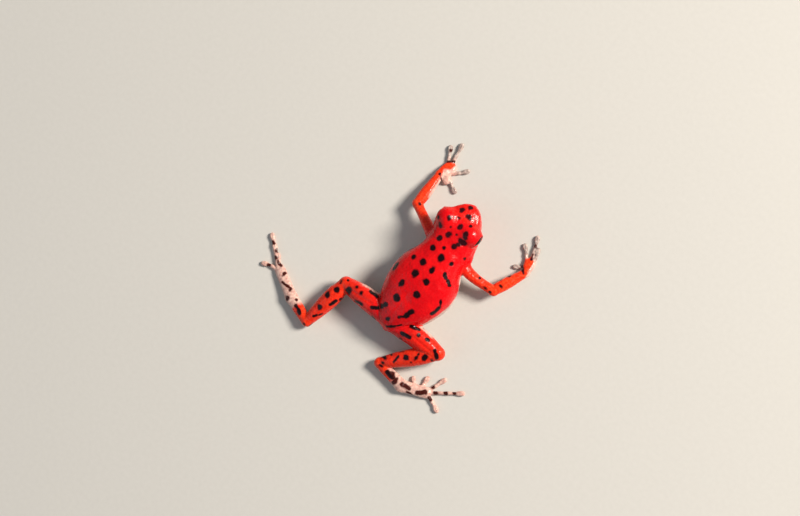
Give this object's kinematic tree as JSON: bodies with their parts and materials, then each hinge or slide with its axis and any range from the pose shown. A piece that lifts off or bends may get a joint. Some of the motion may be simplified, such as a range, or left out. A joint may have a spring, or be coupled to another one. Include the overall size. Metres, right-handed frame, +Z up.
{
  "type": "strawberry poison dart frog model",
  "caption": "Still, life-size model of a small red, black-spotted poison frog lying low with its arms reaching forward.",
  "frame": {"origin": "on the floor, under the middle of the whole frog's box", "axes": "+Z up from the floor, the head points towards -Y, the frog's left side is towards +X"},
  "size_m": [0.0342, 0.0318, 0.0066],
  "materials": {
    "back_and_belly_skin": "wet, glossy, bright red with small black spots",
    "head_skin": "wet, glossy, bright red with small black spots",
    "throat_skin": "wet, glossy, bright red with small black spots",
    "thigh_left_skin": "wet, glossy, bright red with small black spots",
    "thigh_right_skin": "wet, glossy, bright red with small black spots",
    "upper_arm_left_skin": "wet, glossy, orange red with small dark spots",
    "upper_arm_right_skin": "wet, glossy, orange red with small dark spots",
    "forearm_left_skin": "wet, glossy, orange red with small dark spots",
    "forearm_right_skin": "wet, glossy, orange red with small dark spots",
    "shank_left_skin": "wet, glossy, orange red with small dark spots",
    "shank_right_skin": "wet, glossy, orange red with small dark spots",
    "tarsus_left_skin": "moist, pinkish white to tan with dark bands",
    "tarsus_right_skin": "moist, pinkish white to tan with dark bands",
    "foot_left_skin": "moist, pinkish white to tan with dark bands",
    "foot_right_skin": "moist, pinkish white to tan with dark bands",
    "hand_left_skin": "moist, pinkish white to tan with dark bands",
    "hand_right_skin": "moist, pinkish white to tan with dark bands",
    "eye_left": "wet, glossy, near black",
    "eye_right": "wet, glossy, near black"
  },
  "bodies": {
    "root": {"torso": "back_and_belly_skin", "head": "head_skin", "lower_jaw": "throat_skin", "thigh_left": "thigh_left_skin", "thigh_right": "thigh_right_skin", "upper_arm_left": "upper_arm_left_skin", "upper_arm_right": "upper_arm_right_skin", "forearm_left": "forearm_left_skin", "forearm_right": "forearm_right_skin", "shank_left": "shank_left_skin", "shank_right": "shank_right_skin", "tarsus_left": "tarsus_left_skin", "tarsus_right": "tarsus_right_skin", "foot_left": "foot_left_skin", "foot_right": "foot_right_skin", "hand_left": "hand_left_skin", "hand_right": "hand_right_skin", "eye_left": "eye_left", "eye_right": "eye_right"}
  },
  "joints": []
}
